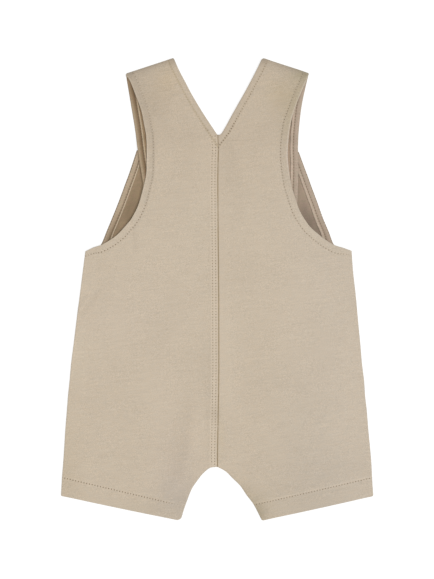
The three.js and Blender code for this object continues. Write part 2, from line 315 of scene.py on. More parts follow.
def with_painted_patches(tint, plan, patches):
    """Lays soft patches of painted shade or light over a tint. Each is its middle's x and y and its
    half width and height in millimetres, then how much it changes red, green and blue there,
    in percent."""
    for x, y, wide, tall, *change in patches:
        distance = ((plan[..., 0] - x) / wide) ** 2 + ((plan[..., 1] - y) / tall) ** 2
        tint = tint * (1 + coloured(np.exp(-distance), change) / 100)
    return tint


def round_corner(layers, plan, end, column, radius):
    """Rounds the same corner of a piece's layers; the plan's edges there give its place and ways."""
    corner = plan[end, column]
    ways = unit(np.stack([plan[end + 3 if end >= 0 else end - 3, column] - corner,
                          plan[end, 4 if column == 0 else -5] - corner]))
    across = np.linalg.inv(ways.T)
    for points in layers:
        inward = np.maximum(radius - (points[..., :2] - corner) @ across.T, 0)
        pull = inward.max(axis=-1) / np.maximum(np.hypot(inward[..., 0], inward[..., 1]), 1e-9)
        both = (inward > 0).all(axis=-1)
        points[..., :2] += np.where(both[..., None], inward * (1 - pull[..., None]), 0) @ ways


def rolled(depth, radius):
    """How far an edge's surface drops where it rolls over, by depth from the edge."""
    inside = np.clip(1 - depth / radius, 0, 1)
    return radius * (1 - np.sqrt(1 - inside ** 2))


def cloth_mesh(name, right_side, wrong_side, stitching, tints, materials):
    """A closed shell from two grids of points in millimetres; the wrong side has the last material.

    The stitching is each point's run along its sewn line, its distance from it and its hole's
    squeeze; the tints are its colour against the cloth's, mostly painted shade and painted light. All
    are for the right and the wrong side."""
    row_count, column_count = right_side.shape[:2]
    size = row_count * column_count
    index = np.arange(size).reshape(row_count, column_count)
    corners = (index[:-1, :-1], index[:-1, 1:], index[1:, 1:], index[1:, :-1])
    quads = np.stack(corners, axis=2).reshape(-1, 4)
    rim = np.concatenate([index[0, :-1], index[:-1, -1], index[-1, :0:-1], index[:0:-1, 0]])
    rim_next = np.roll(rim, -1)
    rim_quads = np.stack([rim_next, rim, rim + size, rim_next + size], axis=1)
    points = np.concatenate([right_side.reshape(-1, 3), wrong_side.reshape(-1, 3)]) * MM
    faces = np.concatenate([quads, quads[:, ::-1] + size, rim_quads])
    a, b, c, d = (points[faces[:, k]] for k in range(4))
    volume = (a * np.cross(b, c)).sum() + (a * np.cross(c, d)).sum()
    if volume < 0:
        faces = faces[:, ::-1]
    mesh = bpy.data.meshes.new(name)
    mesh.from_pydata(points.tolist(), [], faces.tolist())
    for material in materials:
        mesh.materials.append(material)
    slots = np.zeros(len(faces), np.int32)
    slots[len(quads):2 * len(quads)] = len(materials) - 1
    mesh.polygons.foreach_set("material_index", slots)
    mesh.polygons.foreach_set("use_smooth", np.ones(len(faces), bool))
    for key, pair in zip(("stitch_along", "stitch_aside", "stitch_squeeze"), stitching):
        values = [np.broadcast_to(value, (row_count, column_count)) for value in pair]
        layer = mesh.attributes.new(key, "FLOAT", "POINT")
        layer.data.foreach_set("value", np.float32(values).reshape(-1))
    colours = np.ones((2, size, 4), np.float32)
    for k, tint in enumerate(tints):
        colours[k, :, :3] = np.broadcast_to(tint, (row_count, column_count, 3)).reshape(-1, 3)
    mesh.attributes.new("tint", "FLOAT_COLOR", "POINT").data.foreach_set("color", colours.reshape(-1))
    mesh.update()
    return in_scene(name, mesh)


def linear(colour):
    """A colour from its sRGB hex value, as the shader wants it."""
    parts = [int(colour[k:k + 2], 16) / 255 for k in (1, 3, 5)]
    return tuple(p / 12.92 if p <= 0.04045 else ((p + 0.055) / 1.055) ** 2.4 for p in parts) + (1.0,)


def add(tree, kind, inputs=None, **settings):
    """Adds one node with its settings, and sets or links its inputs."""
    new = tree.nodes.new(kind)
    for key, value in settings.items():
        setattr(new, key, value)
    for key, value in (inputs or {}).items():
        if isinstance(value, bpy.types.NodeSocket):
            tree.links.new(value, new.inputs[key])
        else:
            new.inputs[key].default_value = value
    return new


def new_material(name):
    """A material with an empty tree, and the place on the object that its textures follow."""
    material = bpy.data.materials.new(name)
    material.use_nodes = True
    tree = material.node_tree
    tree.nodes.clear()
    return material, tree, add(tree, "ShaderNodeTexCoord").outputs["Object"]


def calc(tree, operation, *values):
    """The result of one math node."""
    return add(tree, "ShaderNodeMath", dict(enumerate(values)), operation=operation).outputs[0]


def noise(tree, place, size, detail):
    """Noise with forms of about the given size in millimetres."""
    inputs = {"Vector": place, "Scale": 1 / (size * MM), "Detail": detail}
    return add(tree, "ShaderNodeTexNoise", inputs).outputs["Fac"]


def stretched_noise(tree, place, long, deep, start=(0, 0, 0)):
    """Noise drawn out along the cloth's courses, to forms this long and deep in millimetres."""
    drawn = add(tree, "ShaderNodeMapping", {
        "Vector": place, "Location": start, "Rotation": (0, 0, COURSE_RISE),
        "Scale": (long * MM, deep * MM, long * MM)}, vector_type="TEXTURE")
    inputs = {"Vector": drawn.outputs[0], "Scale": 1.0, "Detail": 3.0}
    return add(tree, "ShaderNodeTexNoise", inputs).outputs["Fac"]


def mixed(tree, factor, one, other, blend="MIX"):
    """The colour that a mix node gives."""
    inputs = {"Factor": factor, "A": one, "B": other}
    return add(tree, "ShaderNodeMix", inputs, data_type="RGBA", blend_type=blend).outputs["Result"]


def value_range(tree, value, least, most, lowest=0.0, highest=1.0, kind="LINEAR"):
    """A value's range, led over into another one and kept inside it."""
    inputs = {"Value": value, "From Min": least, "From Max": most, "To Min": lowest, "To Max": highest}
    return add(tree, "ShaderNodeMapRange", inputs, interpolation_type=kind).outputs[0]


def jersey(name, warm, cool):
    """Single cotton jersey, spun from slightly uneven dyed fibre, knitted and washed: matt and soft,
    with short slubs along its courses and a faint fleck from warm to cool. Its courses rise a little
    to the right. Where stitches pull it down it has needle holes, darkened with painted shade."""
    material, tree, place = new_material(name)
    slubs = stretched_noise(tree, place, 14, 0.75)
    flecks = noise(tree, place, 0.48, 1.0)
    mottle = noise(tree, place, 6, 2.0)
    clouds = noise(tree, place, 50, 2.0)
    coarse = calc(tree, "MULTIPLY_ADD", clouds, CLOUD_WEIGHT, calc(tree, "MULTIPLY", mottle, MOTTLE_WEIGHT))
    fine = calc(tree, "MULTIPLY_ADD", slubs, SLUB_WEIGHT, coarse)
    tone = calc(tree, "MULTIPLY_ADD", flecks, FLECK_WEIGHT, fine)
    light = value_range(tree, tone, 2.5, 4.0, 0.855, 1.145)
    hue = value_range(tree, stretched_noise(tree, place, 3.5, 1.6, (0.3, 0.2, 0.1)), 0.35, 0.65)
    dye = mixed(tree, hue, linear(warm), linear(cool))
    # The tint attribute holds mostly painted shade and painted light, multiplied into the dye
    tint = add(tree, "ShaderNodeAttribute", attribute_name="tint").outputs["Color"]
    tinted = mixed(tree, 1.0, mixed(tree, 1.0, dye, light, "MULTIPLY"), tint, "MULTIPLY")
    # A needle hole for each stitch along the sewn lines, about 1 mm across, darkened with painted shade
    pitches, aside, squeeze = (
        add(tree, "ShaderNodeAttribute", attribute_name=f"stitch_{key}").outputs["Fac"]
        for key in ("along", "aside", "squeeze"))
    centred = calc(tree, "SUBTRACT", calc(tree, "FRACT", pitches), 0.5)
    near = calc(tree, "MULTIPLY", calc(tree, "MULTIPLY", centred, squeeze), STITCH)
    squared = calc(tree, "MULTIPLY_ADD", aside, aside, calc(tree, "MULTIPLY", near, near))
    distance = calc(tree, "SQRT", squared)
    hole = value_range(tree, distance, 0.2, 0.7, 1.0, 0.0, "SMOOTHSTEP")
    hole_shaded = mixed(tree, hole, tinted, linear(HOLE_SHADE))
    # The knit itself: courses 0.9 mm apart and loose fibre, with the holes pressed in
    knit = add(tree, "ShaderNodeTexWave", {
        "Vector": place, "Scale": 1 / (0.9 * MM * math.pi), "Distortion": 2.0, "Detail": 2.0,
    }, wave_type="BANDS", bands_direction="Y").outputs["Fac"]
    relief = calc(tree, "MULTIPLY_ADD", noise(tree, place, 0.5, 2.0), 0.7, knit)
    pressed = calc(tree, "MULTIPLY_ADD", hole, -2.0, relief)
    raised = add(tree, "ShaderNodeBump", {"Height": pressed, "Strength": 0.4, "Distance": 0.15 * MM})
    shader = add(tree, "ShaderNodeBsdfPrincipled", {
        "Base Color": hole_shaded, "Roughness": 0.88, "Normal": raised.outputs[0],
        "Sheen Weight": 0.1, "Sheen Roughness": 0.5, "Specular IOR Level": 0.25,
    })
    add(tree, "ShaderNodeOutputMaterial", {"Surface": shader.outputs[0]})
    return material


COURSE_RISE = math.radians(7.5)
CLOUD_WEIGHT = 0.45
MOTTLE_WEIGHT = 0.3
SLUB_WEIGHT = 1.1
FLECK_WEIGHT = 4.6
# Painted shade in the needle holes
HOLE_SHADE = "#6E5D48"
JERSEY = jersey("cotton_jersey_right_side", "#BBAC98", "#B9AC9A")
# The wrong side is coloured darker than the right side: painted shade inside the armholes and under the
# back.
JERSEY_INSIDE_SHADED = jersey("cotton_jersey_wrong_side_painted_shade", "#988470", "#92836C")
FACE_DEPTHS = np.array([0, 0.12, 0.35, 0.7, 1.3, 2.2, 3.4, 4.6, 5.4, 6.0, 6.5, 7.0, 7.8, 9.2])
# Of the rows' holes: how much they are squeezed along and across the row, and how faint they are
BIB_HOLES = (0.7, 1.0, 0)
FRONT_HEM_HOLES = (1.1, 0.6, 0)
BIB_HEM = 10.0
FRONT_RUN_ON = 8
FRONT_ROUNDER = 0.6
LOFT = 0.1
ROLL_SHARE = 0.8
ROW_DENT = 0.2
HEM_ROW = 1
FRONT_FILL = 34
FRONT_CELL = 2.6
EDGE_RADIUS = 0.8
WRONG_EDGE_RADIUS = 0.4


def over_button(plan, side):
    x, y = BUTTON_AT[side]
    distance = np.hypot(plan[..., 0] - x, plan[..., 1] - y)
    return 1 - smooth(BUTTON_CLEAR, BUTTON_CLEAR + BUTTON_FADE, distance)


def part_halves(inner, seam_rows, side):
    """Moves the centre seam's ends apart by the seam gap."""
    moved = inner.copy()
    moved[seam_rows, 0] += -SEAM_GAP / 2 if side == "left" else SEAM_GAP / 2
    return moved


def bow_hem(plan, rows):
    """The hem's edge bows down a little between the side seam and the inner leg."""
    width = np.linalg.norm(plan[:, -1] - plan[:, 0], axis=1)[:, None]
    share = np.linalg.norm(plan - plan[:, :1], axis=2) / width
    plan[..., 1] -= 4 * HEM_BOW * share * (1 - share) * np.clip(1 - rows, 0, 1)[:, None]
    return plan


def straighten(plan, rows, at):
    """Straightens the row at the place given, and leads those beside it along."""
    row = plan[np.abs(rows - at).argmin()]
    share = (row[:, 0] - row[0, 0]) / (row[-1, 0] - row[0, 0])
    lift = row[0, 1] + (row[-1, 1] - row[0, 1]) * share - row[:, 1]
    plan[..., 1] += lift * bell(rows - at, 0.4)[:, None]
    return plan


def stacked(plan, height):
    return np.concatenate([plan, np.broadcast_to(height, plan.shape[:2])[..., None]], axis=2)


def painted_inside_shade(plan, side, outer_depth):
    """Painted light on the bib's wrong side along its facing, and painted shade in its hollows."""
    along_facing = bell(outer_depth - ARMHOLE_BAND, 2.0) * smooth(60, 90, plan[..., 1])
    tint = coloured(1 + FACING_SIDE_PAINTED_LIGHT * along_facing, INSIDE_SHADE_TINT[side])
    return with_painted_patches(tint, plan, INSIDE_SHADE_PATCHES[side])


front_sections = LEG + SEAT + BIB
crotch_row = len(LEG) - 1
underarm_row = len(LEG) + len(SEAT) - 1
bib_top_row = len(front_sections) - 1
FACING_SIDE_PAINTED_LIGHT = 0.24
# Painted shade over the left inside, painted light over the right inside
INSIDE_SHADE_TINT = {"left": (0.82, 0.78, 0.71), "right": (1.05, 1.06, 1.15)}
# Each patch of painted shade or light: x, y, half width, half height, and the change of red, green and blue
# in percent
INSIDE_SHADE_PATCHES = {
    "left": [
        (-81, 72, 4, 12, -10, -11, -14), (-68, 112, 8, 10, 15, 15, 12), (-71, 84, 3.5, 12, 22, 20, 17),
        (-77, 68, 3, 6, 22, 20, 17), (-85, 58, 4, 5, 25, 23, 20), (-95, 48.5, 6, 3.5, 25, 22, 20),
        (-67, 98, 3, 8, 15, 13, 10),
    ],
    "right": [
        (81, 73, 4, 9, -22, -22, -21), (95, 55, 6, 8, -26, -26, -25), (86, 62, 6, 9, -30, -31, -30),
    ],
}
fronts = {}
for side in SIDES:
    outer, inner, _ = ends(front_sections, side)
    inner = part_halves(inner, slice(crotch_row, None), side)
    near_ends = [0.01, 0.025, 0.05, 0.1, bib_top_row - 0.1, bib_top_row - 0.05, bib_top_row - 0.02]
    rows = row_places(outer, inner, FRONT_CELL, near_ends)
    plan, outer_depth, inner_depth = lay_out(
        outer, inner, (0, underarm_row, bib_top_row), (0, crotch_row, bib_top_row),
        rows, FACE_DEPTHS, FACE_DEPTHS, FRONT_FILL)
    plan = bow_hem(straighten(plan, rows, HEM_ROW), rows)
    to_ends = [np.linalg.norm(plan - end, axis=2) for end in (plan[:1], plan[-1:])]
    roll = ROLL_SHARE * rolled(np.min([outer_depth, inner_depth, *to_ends], axis=0), WRONG_EDGE_RADIUS)
    lift = BIB_LIFT * over_button(plan, side)
    right_side = stacked(plan, lift + roll)
    wrong_side = stacked(plan, lift + CLOTH + LOFT - roll)
    for column, radius in zip((0, -1), HEM_CORNERS[side]):
        round_corner((right_side, wrong_side), plan, 0, column, radius + FRONT_ROUNDER)
    middle = plan[len(rows) // 2, plan.shape[1] // 2]
    armhole_edge = run_on(plan[rows >= underarm_row, 0], FRONT_RUN_ON)
    armhole_gap, armhole_run = near_line(plan, armhole_edge)
    hem_gap, hem_run = near_line(plan, plan[np.abs(rows - HEM_ROW).argmin()])
    top_gap, top_run = near_line(plan, inside_edge(plan[-1], BIB_HEM, middle))
    sewn = [
        (np.abs(armhole_gap - ARMHOLE_BAND), armhole_run, *BIB_HOLES),
        (hem_gap, hem_run, *FRONT_HEM_HOLES),
        (top_gap, top_run, *BIB_HOLES),
    ]
    aside, along, squeeze, nearest = nearest_row(sewn)
    right_side[..., 2] += ROW_DENT * bell(nearest, 0.6)
    piece = cloth_mesh(
        f"front_{side}_cloth", right_side, wrong_side, [(along, 0.0), (aside, FAR), (squeeze, 1.0)],
        (1.0, painted_inside_shade(plan, side, outer_depth)), [JERSEY, JERSEY_INSIDE_SHADED])
    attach(piece, "root")
    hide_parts(f"front_{side}")
    fronts[side] = {"piece": piece}


# Facings inside the bib's armhole edges
# A narrow strip of the same jersey, turned under along both sides and stitched down by two rows,
# one at the armhole's edge and one just short of its folded inner edge.
FACING_STEPS = np.array([0, 0.03, 0.08, 0.16, 0.28, 0.42, 0.58, 0.74, 0.85, 0.92, 0.98, 1.03, 1.1])
FACING_START = 0.1
FACING_ROWS = {"left": ((0.4, 0.6), (5.1, 0.8)), "right": ((0.4, 0.6), (4.5, 0.8))}
FACING_THICK = 1.0
FACING_CELL = 1.2
FACING_LIFT = 0.45
FACING_SQUEEZE = 0.8
BIB_FACING_FROM = 1.5
FACING_WIDTH = {"left": 6.9, "right": 7.5}
FACING_FAINT = {"left": 0.0, "right": 0.16}
# Overall painted light on the left bib facing and slight painted shade on the right one
FACING_SHADE_TINT = {"left": (1.08, 1.06, 1.03), "right": (0.98, 0.975, 1.04)}
BIB_FACING_SHADES = {"left": (0.45, 0.14, 0.42, 0.06), "right": (0.0, 0.02, 0.12, 0.14)}
FACING_LOW_SHADE = {"left": (0.26, 0.2, 0.14), "right": (0.12, 0.1, 0.04)}
# Coloured darker than the right side: painted shade inside the armholes.
FACING_JERSEY_SHADED = jersey("cotton_jersey_facing_painted_shade", "#AB9884", "#A59882")


def facing_strip(node, side, outer, inner, first_row, width, base, tint, shades, stitched):
    """A folded strip along a piece's outer edge, on its wrong side, at heights that base gives.

    It is stitched down by rows, each at its depth with its holes squeezed across by a factor; shades
    give its painted shade along its edge, towards its inner row and at the row, and the painted
    highlight on its fold."""
    rows = row_places(outer, inner, FACING_CELL)
    rows = rows[rows >= first_row]
    across = unit(spline(inner, rows) - spline(outer, rows))
    line, way_in = edge_line(outer, (0, len(outer) - 1), rows, across)
    row_at = stitched[-1][0]
    to_row = FACING_START + FACING_STEPS * row_at
    fold_steps = to_row[-1] + (width - to_row[-1]) * np.array([0.3, 0.55, 0.75, 0.9, 1.0])
    depths = np.concatenate([to_row, fold_steps])
    plan = line[:, None] + way_in[:, None] * depths[None, :, None]
    rim = np.broadcast_to(np.minimum(depths - depths[0], depths[-1] - depths), plan.shape[:2])
    to_rows = np.abs(depths[:, None] - np.array([at for at, _ in stitched]))
    groove = 0.3 * bell(to_rows.min(axis=1), 0.45)
    aside = (to_rows * np.array([squeezed for _, squeezed in stitched])).min(axis=1) + FACING_FAINT[side]
    puff = 0.15 * bell(depths / row_at - 0.6, 0.23)
    height = base(plan)
    right_side = stacked(plan, height + FACING_THICK - 0.15 + puff - rolled(rim, 0.6) - groove)
    wrong_side = stacked(plan, height + rolled(rim, WRONG_EDGE_RADIUS) * 0.5)
    along = (run_length(line) / STITCH + 0.5)[:, None]
    # Painted shade where the strip sinks towards its stitched row, and a painted highlight where its free
    # fold stands up
    low = 1 - smooth(45, 82, plan[..., 1])
    edge, sink, row_dark, fold_highlight = shades
    low_sink, low_row, low_all = FACING_LOW_SHADE[side]
    sunk = smooth(0.07, 0.85, depths / row_at) * (1 - smooth(0, 0.7, depths - row_at))
    shade = 1 - coloured((sink + low_sink * low) * sunk, (0.85, 1.0, 1.15))
    shade *= 1 - coloured(edge * smooth(160, 192, plan[..., 1]), (0.75, 0.9, 1.05))
    shade *= 1 - coloured(edge * bell(depths, 0.5), (0.75, 1.0, 1.3))
    shade *= 1 - coloured((row_dark + low_row * low) * bell(depths - row_at, 0.5), (0.9, 1.0, 1.12))
    shade *= coloured((1 + fold_highlight * smooth(0.35, 1.05, depths - row_at)) * (1 - low_all * low))
    stitching = [(along, along), (aside[None], FAR), (FACING_SQUEEZE, FACING_SQUEEZE)]
    tints = (np.array(tint) * shade, tint)
    piece = cloth_mesh(f"{node}_strip", right_side, wrong_side, stitching, tints, [FACING_JERSEY_SHADED])
    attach(piece, "root")
    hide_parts(node)
    columns = [np.abs(depths - at).argmin() for at, _ in stitched]
    sewn = [np.column_stack([right_side[:, column], run_length(line)]) for column in columns]
    return {"facing": piece, "facing_rows": sewn}


for side in SIDES:
    outer, inner, _ = ends(SEAT[-1:] + BIB, side)
    fronts[side].update(facing_strip(
        f"armhole_facing_{side}", side, outer, inner, BIB_FACING_FROM, FACING_WIDTH[side],
        lambda plan: BIB_LIFT * over_button(plan, side) + CLOTH + FACING_LIFT,
        FACING_SHADE_TINT[side], BIB_FACING_SHADES[side], FACING_ROWS[side]))


# Back halves
# Two cut pieces, each a leg, half the seat and chest, and a strap that runs over the shoulder and
# down inside the bib. The armhole and neck are turned under and stitched, the leg is hemmed, and
# the centre seam's allowance is pressed to the left half and stitched down by a twin row.
ARMHOLE = seamed([
    (-113.5, 38.5, 116.5, 38, 31, 2.8, 4.2, 2.6),
    (-106, 41, 108, 40.8, 37.5, 3, 4.3, 2.6),
    (-97.1, 46.1, 99.1, 46.2, 47.5, 3.2, 4.6, 2.6),
    (-90.6, 51.1, 92.4, 51.5, 57, 3.5, 4.9, 2.6),
    (-85.1, 57.1, 86.2, 57, 67, 4.2, 5.2, 2.6),
    (-79.1, 64.1, 81.2, 63.5, 78, 5, 5.7, 2.6),
    (-74.2, 72.6, 76.2, 72, 89, 5.8, 6, 2.6),
    (-70.7, 81.6, 73.1, 80.4, 99, 5.8, 6, 2.6),
    (-67.2, 95, 68.8, 94.5, 111, 5.8, 6, 2.6),
    (-64.9, 106, 66.8, 105.5, 121, 5.8, 6, 2.6),
    (-64.5, 120.5, 65.2, 119.5, 131.5, 5.8, 6, 2.6),
    (-64.5, 131.5, 65.2, 130.5, 142, 5.8, 6, 2.6),
])
STRAP_BACK = [
    (-64.8, 137.5, -0.4, 143.4, 65.8, 137, 4.1, 143.1, 4.6, 4.6, 2.7),
    (-65.5, 144, -4.8, 150, 66.5, 144, 8.4, 150.0, 3.4, 3.2, 2.8),
    (-67.5, 154, -9.8, 157.5, 68.5, 155, 12.7, 158.0, 2.8, 2.8, 2.8),
    (-69.5, 164, -15.2, 166, 71.2, 164, 17.4, 166.5, 2.8, 2.8, 2.8),
    (-72.5, 172.5, -20.3, 174.5, 74, 172, 21.9, 174.5, 2.8, 2.8, 2.8),
    (-75.4, 180, -24.6, 182, 77, 179.5, 26.4, 182.5, 2.8, 2.8, 2.8),
    (-77.8, 186.5, -28.7, 190, 80, 186.5, 30.9, 191, 2.8, 2.8, 2.8),
    (-80.5, 192.5, -34.3, 200.5, 82.5, 192, 36.1, 201, 2.8, 2.8, 2.8),
]
SHOULDER = [(-84.2, 198.4, -39.7, 213.1, 84.9, 198.8, 41.8, 213.3, 2.8, 2.8, 2.8)]
STRAP_FRONT = [
    (-79.3, 171, -32.5, 176.5, 78.7, 172, 36.5, 176.5),
    (-75.8, 150, -28, 155, 76, 151.5, 32.5, 155),
    (-73.3, 131.5, -24.5, 135, 74.7, 132, 29.5, 135),
    (-71.5, 118.5, -23.5, 118.5, 75, 118.5, 28, 118.5),
    (-69.5, 106.5, -22.5, 102, 75, 103.5, 27.5, 102),
    (-67.5, 93, -21.5, 89, 74.5, 90, 27, 89),
    (-65, 70.5, -20, 69, 74, 69.5, 26.5, 69),
]
FOLD_RADIUS = 2.0
FOLD_STEPS = 9
BACK_FILL = 48
BACK_CELL = 1.4
BAND_RISE = 0.4
HEM_RISE = 0.35
ALLOWANCE_RISE = 0.5
SEAM_EDGE_RADIUS = 0.45
LAYER_EVENING = 7.0
ALLOWANCE_WIDTH = 8.0
NECK_BAND = 5.5
UNDERARM_BAND = 4.1
ARMHOLE_ROW = {"left": 6.3, "right": 6.7}
ROW_RISES = {"left": 0.0, "right": 1.0}
ROWS_MEET = 130.7
TWIN_ROWS = (2.6, 5.5)
TWIN_START = -200.0
SEAM_SPAN = (-162.0, 141.0)
GROOVE = 0.16
STRAP_ON_BIB = 2.8
SLOPE_FOOT = 133.0
SLOPE_TOP = 142.0
STRAP_REST = 1.8
WRONG_SIDE_DROP = 0.3
RIPPLES = 9
RIPPLE_HEIGHT = 0.09
SEAM_COURSE = [(-164, -0.4), (-149, -0.4), (-121, 0.1), (-95, 0.6), (-70, 0.8), (-6, 0.7), (25, 0.4),
               (54, 0.1), (98, -0.15), (115, 0.0), (128, 0.45), (133, 0.3), (138, -0.1), (145, -0.1)]
RUN_ON = 12
FOLD_CORNERS = {"left": (1.6, 1.3), "right": (0.6, 2.6)}
ARMHOLE_HOLES = (1.0, 0.95)
HEM_HOLES = (1.15, 0.7)
TWIN_HOLES = (1.2, 1.0)
TWIN_FAINT = 0.06
NECK_SHADE = {"left": 0.0, "right": 0.025}
NECK_ROW_SHADE = {"left": (0.12, 0.14, 0.24), "right": (0.14, 0.15, 0.19)}
ARMHOLE_SHADE = {"left": 0.26, "right": 0.06}
SHOULDER_CALM = {"left": 0.75, "right": 0.0}
ARMHOLE_FAINT = {"left": 0.02, "right": 0.1}
ROW_CALMS = {"left": 0.2, "right": 0.02}
NECK_FAINT = {"left": 0.46, "right": 0.17}
NECK_SQUEEZE = {"left": 0.8, "right": 1.0}
NECK_SPREAD = 0.5
UP_NECK_SPREAD = 0.35
CLEARER_AT_V = 0.1
HEM_FADE = {"left": 0.4, "right": 0.0}
HEM_FAINT = {"left": 0.04, "right": 0.15}
NECK_DEPTHS = np.array([0, 0.12, 0.35, 0.7, 1.2, 1.8, 2.3, 2.6, 2.9, 3.5, 4.2, 4.9, 5.5, 6.1, 6.8,
                        7.6, 8.6, 9.8])


def across_profile(heights, share):
    """Height of the wrong side across a section, from those at its edges and middle."""
    edge, middle, inner = (heights[:, k:k + 1] for k in range(3))
    to_middle = edge + (middle - edge) * smooth(0, 0.3, share)
    return to_middle + (inner - to_middle) * smooth(0.64, 1, share)


def strap_height(plan, side):
    on_bib = 1 - smooth(SLOPE_FOOT, SLOPE_TOP, plan[..., 1])
    return on_bib * np.maximum(STRAP_ON_BIB, STRAP_REST + BIB_LIFT * over_button(plan, side))


def fold_axis(side):
    """The shoulder's fold line, moved in by the fold's radius, and the way out from it."""
    outer, inner, _ = ends(SHOULDER, side)
    outward = quarter_turn(unit(inner[0] - outer[0]))
    outward *= np.sign(outward[1])
    return outer[0] - outward * FOLD_RADIUS, inner[0] - outward * FOLD_RADIUS, outward


def fullness(gap, row_at):
    """A turned and stitched edge lies full between its edge and its row of stitches."""
    return BAND_RISE * (1 - smooth(row_at - 0.5, row_at + 0.5, gap))


def armhole_row_depth(side, run, height):
    """How deep the armhole's row lies in from the edge: less at the underarm and the right shoulder."""
    to_full_band = smooth(RUN_ON - 2, RUN_ON + 14, run)
    depth = UNDERARM_BAND + (ARMHOLE_ROW[side] - UNDERARM_BAND) * to_full_band
    return depth - ROW_RISES[side] * smooth(150, 172, height)


def seam_at(height):
    """Where the sewn seam lies at a height: hand-guided, so not quite straight."""
    heights, leans = np.array(SEAM_COURSE).T
    return SEAM_X + np.interp(height, heights, leans)


def led_by_seam(plan):
    """Moves the cloth near the centre seam over with it."""
    lean = seam_at(plan[..., 1]) - SEAM_X
    plan[..., 0] += lean * (1 - smooth(6, 30, np.abs(plan[..., 0] - SEAM_X)))
    return plan


def ripples(plan, seed):
    """Soft uneven swells, where the cloth doesn't lie quite flat."""
    draw = np.random.default_rng(seed)
    swell = np.zeros(plan.shape[:2])
    for _ in range(RIPPLES):
        turn = draw.uniform(0, math.pi)
        length = draw.uniform(45, 120)
        start = draw.uniform(0, 2 * math.pi)
        way = plan[..., 0] * math.cos(turn) + plan[..., 1] * math.sin(turn)
        swell += np.sin(2 * math.pi * way / length + start)
    return RIPPLE_HEIGHT * swell


def creases(plan, side):
    """Creases where the cloth is pulled or was folded: each runs between two points and dies out
    towards both, with a width and a height, in millimetres. Gives heights, and the painted shade in
    hollows."""
    height = np.zeros(plan.shape[:2])
    dark = np.zeros(plan.shape[:2])
    for x0, y0, x1, y1, width, rise in CREASES[side]:
        start = np.array([x0, y0])
        way = np.array([x1, y1]) - start
        share = (plan - start) @ way / (way @ way)
        offset = plan - start - np.clip(share, 0, 1)[..., None] * way
        gap = np.hypot(offset[..., 0], offset[..., 1])
        form = bell(gap, width) * np.sin(math.pi * np.clip(share, 0.02, 0.98)) ** 0.7
        height += rise * form
        dark += HOLLOW_SHADE * max(-rise, 0) * form
    return height, dark


def back_shade_tint(plan, side, to_fold, to_seam, above_hem, armhole_gap, inner_depth):
    """Where the back's cloth is darker, lighter or warmer than it is over the seat: mostly painted shade
    and painted light.
    """
    height = plan[..., 1]
    tint = 1 - coloured(smooth(60, 150, height), (0.04, 0.05, 0.06))
    tint *= 1 + coloured(smooth(30, 110, plan[..., 0]), (0.0, 0.012, 0.04))
    # Painted shade where the turned armhole edge hangs lower than the cloth beside it, and a painted
    # highlight along its rim
    band = (1 - smooth(5.2, 6.8, armhole_gap)) * smooth(50, 110, height)
    rim = bell(armhole_gap - 0.5, 0.6) * smooth(RIM_HIGHLIGHT_START[side], 130, height)
    strap_side = bell(armhole_gap, 22) * smooth(120, 172, height)
    tint *= coloured(1 - BAND_SHADE * band - STRAP_SIDE_SHADE * strap_side)
    tint *= 1 + coloured(rim, RIM_HIGHLIGHT[side])
    tint *= 1 - coloured(FOLD_SHADE * np.exp(-to_fold / 2.2) + WIDE_FOLD_SHADE * bell(to_fold, 9))
    tint *= 1 - coloured(SEAM_SHADE * bell(to_seam, 0.5), (0.75, 0.95, 1.4))
    if side == "left":
        # Painted light over the raised seam allowance
        over_allowance = smooth(0.8, 1.6, to_seam) * (1 - smooth(6.0, 8.5, to_seam))
        light = ALLOWANCE_PAINTED_LIGHT + LOW_ALLOWANCE_PAINTED_LIGHT * (1 - smooth(-60, 20, height))
        tint *= 1 + coloured(over_allowance * light)
    else:
        # Painted olive shade beside the right armhole near the strap
        olive_shade = bell(armhole_gap, 9) * smooth(120, 160, height)
        tint *= 1 - coloured(olive_shade, (0.01, 0.01, 0.07))
    # Painted highlight on the ridge just above the hem's row
    hem_ridge_highlight = bell(above_hem - 1.2, 0.6) * (height < -140)
    tint *= 1 + coloured(hem_ridge_highlight * HEM_RIDGE_HIGHLIGHT[side])
    inner_leg = np.exp(-inner_depth / 8) * (1 - smooth(-190, -160, height)) * INNER_LEG_SHADE[side]
    tint *= 1 - coloured(inner_leg, (1.0, 1.05, 1.4))
    return with_painted_patches(tint, plan, BACK_SHADE_PATCHES[side])


# Amounts of painted shade and painted light on the back's cloth
BAND_SHADE = 0.05
STRAP_SIDE_SHADE = 0.09
FOLD_SHADE = 0.3
WIDE_FOLD_SHADE = 0.07
SEAM_SHADE = 0.36
ALLOWANCE_PAINTED_LIGHT = 0.055
LOW_ALLOWANCE_PAINTED_LIGHT = 0.02
HEM_ROW_LIGHT = 0.06
NECK_EDGE_SHADE = 0.05
RIM_HIGHLIGHT_START = {"left": 0.0, "right": 90.0}
RIM_HIGHLIGHT = {"left": (0.18, 0.18, 0.17), "right": (0.22, 0.25, 0.36)}
INNER_LEG_SHADE = {"left": 0.0, "right": 0.13}
HEM_RIDGE_HIGHLIGHT = {"left": 0.03, "right": 0.1}
HOLLOW_SHADE = 0.045
